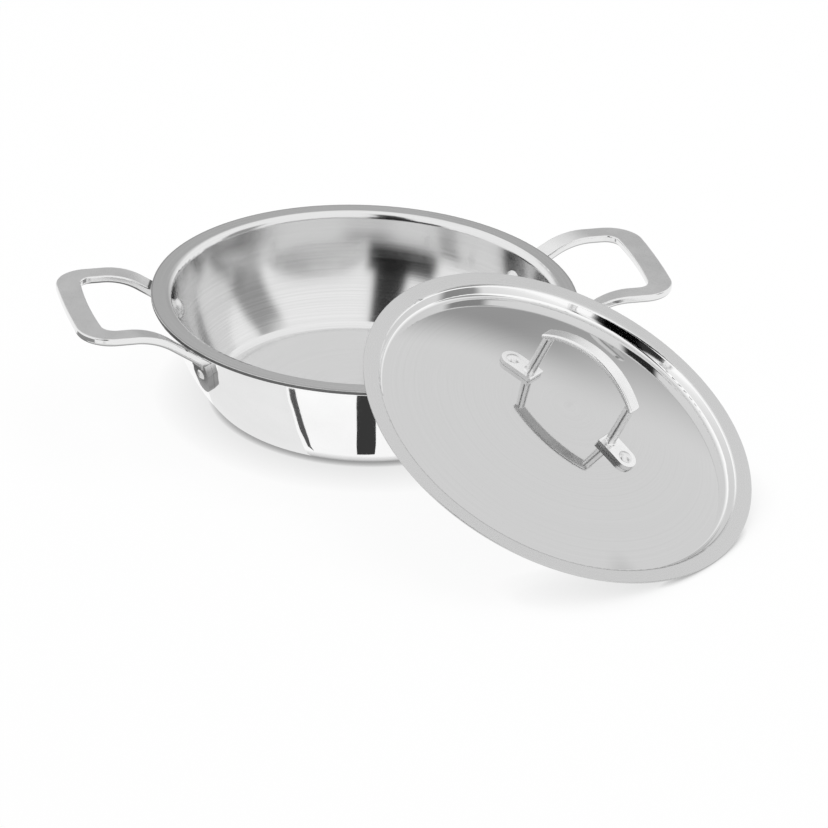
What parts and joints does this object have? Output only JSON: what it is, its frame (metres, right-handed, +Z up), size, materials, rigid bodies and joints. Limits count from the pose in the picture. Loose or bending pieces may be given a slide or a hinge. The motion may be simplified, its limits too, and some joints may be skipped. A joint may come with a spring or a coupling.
{
  "type": "kadai with lid",
  "caption": "Polished stainless steel kadai with riveted loop handles on both sides and a domed lid leaning on its rim.",
  "frame": {"origin": "centre of the pan's flat base, on the surface it stands on", "axes": "+Z up, X through both side handles, the lid leans on the front right of the rim towards -Y"},
  "size_m": [0.3825, 0.4053, 0.112],
  "materials": {
    "polished_steel": "mirror polished stainless",
    "core_aluminium": "trimmed edge",
    "satin_steel": "circular brushed satin",
    "handle_steel": "satin top, polished sides",
    "rivet_steel": "polished",
    "lid_steel": "brushed flange, polished panel"
  },
  "bodies": {
    "pan": {"pan_outer_ply": "polished_steel", "pan_core_ply": "core_aluminium", "pan_inner_ply": "satin_steel", "left_handle": "handle_steel", "right_handle": "handle_steel", "left_handle_rivets": "rivet_steel", "right_handle_rivets": "rivet_steel"},
    "lid": {"lid_panel": "lid_steel", "lid_handle": "handle_steel", "lid_handle_rivets": "rivet_steel"}
  },
  "joints": [
    {"name": "lid_lift", "type": "slide", "parent": "pan", "child": "lid", "axis": [0, 0, 1], "range_m": [0, 0.12]}
  ]
}
